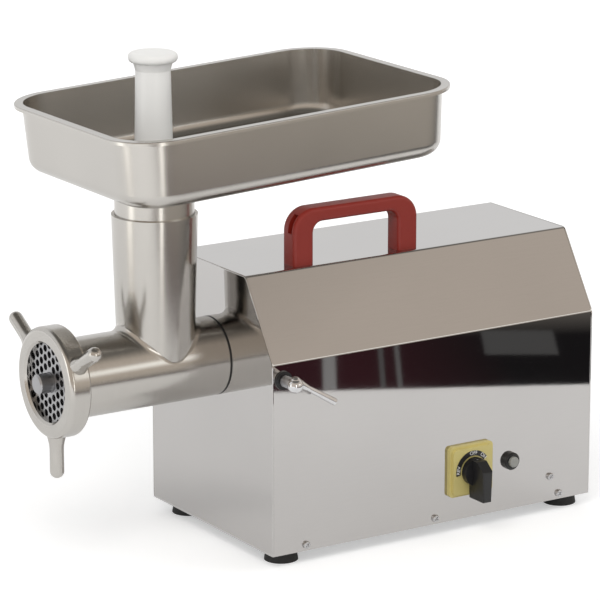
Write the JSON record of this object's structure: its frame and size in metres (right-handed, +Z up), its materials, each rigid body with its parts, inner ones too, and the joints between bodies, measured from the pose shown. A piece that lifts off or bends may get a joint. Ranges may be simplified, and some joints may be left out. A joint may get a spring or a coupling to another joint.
{
  "type": "electric meat grinder",
  "caption": "Bench-top electric meat grinder: folded steel cabinet with motor and gears, clamped head with auger, knife and plate, lift-off tray, stomper and rotary switch.",
  "frame": {"origin": "on the floor, under the middle of the whole grinder", "axes": "+Z up, +X from the grinding head to the far end of the cabinet, +Y from the control panel to the back"},
  "size_m": [0.5466, 0.316, 0.4575],
  "materials": {
    "cabinet_steel": "polished",
    "base_steel": "satin",
    "head_steel": "satin",
    "tray_steel": "satin",
    "cutter_steel": "ground",
    "fastener_steel": "zinc plated",
    "lever_chrome": "polished",
    "shaft_steel": "ground",
    "bearing_steel": "polished",
    "bronze": "turned",
    "cast_aluminium": "as cast",
    "motor_paint": "satin",
    "lamination": "stacked sheet",
    "winding_copper": "varnished",
    "handle_red": "satin",
    "pusher_white": "smooth",
    "legend_yellow": "satin",
    "black_plastic": "satin",
    "button_grey": "satin",
    "rubber_black": "matt",
    "capacitor_can": "drawn"
  },
  "bodies": {
    "machine": {"cabinet_wrap": "cabinet_steel", "head_end_plate": "cabinet_steel", "far_end_plate": "cabinet_steel", "base_plate": "base_steel", "rubber_feet": "rubber_black", "foot_screws": "fastener_steel", "case_screws": "fastener_steel", "carry_handle": "handle_red", "handle_screws": "fastener_steel", "cable_gland": "black_plastic", "gland_nut": "black_plastic", "switch_plate": "legend_yellow", "switch_scale": "black_plastic", "switch_body": "black_plastic", "reset_bezel": "black_plastic", "breaker_body": "black_plastic", "grinder_body": "head_steel", "plate_key": "cutter_steel", "barrel_bush": "bronze", "thrust_washer": "bearing_steel", "clamp_grommet": "black_plastic", "head_socket": "base_steel", "socket_bolts": "fastener_steel", "gearbox_housing": "cast_aluminium", "gearbox_cover": "cast_aluminium", "gearbox_bolts": "fastener_steel", "output_bearings": "bearing_steel", "countershaft_bearings": "bearing_steel", "oil_seal": "rubber_black", "stator_core": "lamination", "stator_windings": "winding_copper", "motor_shell": "motor_paint", "motor_front_bell": "cast_aluminium", "motor_rear_bell": "cast_aluminium", "motor_bearings": "bearing_steel", "motor_tie_bolts": "fastener_steel", "motor_cradle": "motor_paint", "capacitor": "capacitor_can", "capacitor_clip": "capacitor_can"},
    "auger_train": {"auger": "cutter_steel", "knife": "cutter_steel", "drive_shaft": "shaft_steel", "output_gear": "shaft_steel"},
    "countershaft_train": {"countershaft": "shaft_steel", "countershaft_gear": "shaft_steel"},
    "rotor": {"motor_shaft": "shaft_steel", "rotor_core": "lamination", "cooling_fan": "black_plastic"},
    "plate": {"cutting_plate": "cutter_steel"},
    "ring": {"ring_nut": "head_steel"},
    "tray": {"tray_pan": "tray_steel", "tray_spout": "tray_steel"},
    "stomper": {"pusher": "pusher_white"},
    "knob": {"switch_knob": "black_plastic", "switch_spindle": "shaft_steel"},
    "reset": {"reset_button": "button_grey"},
    "pad": {"clamp_pad": "fastener_steel"},
    "lever": {"clamp_screw": "fastener_steel", "clamp_lever": "lever_chrome"}
  },
  "joints": [
    {"name": "auger_spin", "type": "hinge", "parent": "machine", "child": "auger_train", "pos_m": [-0.09475, -0.0222, 0.174], "axis": [-1, 0, 0], "continuous": true},
    {"name": "countershaft_spin", "type": "hinge", "parent": "machine", "child": "countershaft_train", "pos_m": [-0.03325, -0.0642, 0.118], "axis": [-1, 0, 0], "continuous": true},
    {"name": "rotor_spin", "type": "hinge", "parent": "machine", "child": "rotor", "pos_m": [0.05175, -0.0194, 0.0844], "axis": [-1, 0, 0], "continuous": true},
    {"name": "plate_slide", "type": "slide", "parent": "machine", "child": "plate", "axis": [-1, 0, 0], "range_m": [0, 0.016]},
    {"name": "ring_turn", "type": "hinge", "parent": "plate", "child": "ring", "pos_m": [-0.26525, -0.0222, 0.174], "axis": [-1, 0, 0], "range_deg": [0, 1440]},
    {"name": "tray_lift", "type": "slide", "parent": "machine", "child": "tray", "axis": [0, 0, 1], "range_m": [0, 0.06]},
    {"name": "pusher_slide", "type": "slide", "parent": "machine", "child": "stomper", "axis": [0, 0, 1], "range_m": [0, 0.26]},
    {"name": "knob_turn", "type": "hinge", "parent": "machine", "child": "knob", "pos_m": [0.11715, -0.1272, 0.0592], "axis": [0, 1, 0], "range_deg": [-90, 45]},
    {"name": "reset_push", "type": "slide", "parent": "machine", "child": "reset", "axis": [0, 1, 0], "range_m": [0, 0.0025], "stiffness_N_per_m": 300},
    {"name": "pad_slide", "type": "slide", "parent": "machine", "child": "pad", "axis": [0, -1, 0], "range_m": [0, 0.00225]},
    {"name": "lever_turn", "type": "hinge", "parent": "pad", "child": "lever", "pos_m": [-0.08375, -0.1272, 0.174], "axis": [0, -1, 0], "range_deg": [0, 540]}
  ],
  "couplings": [
    {"joint": "countershaft_spin", "follows": "auger_spin", "ratio": -3},
    {"joint": "rotor_spin", "follows": "auger_spin", "ratio": 9},
    {"joint": "plate_slide", "follows": "ring_turn", "m_per_rad": 0.00063662},
    {"joint": "lever_turn", "follows": "pad_slide", "rad_per_m": 4188.8}
  ]
}
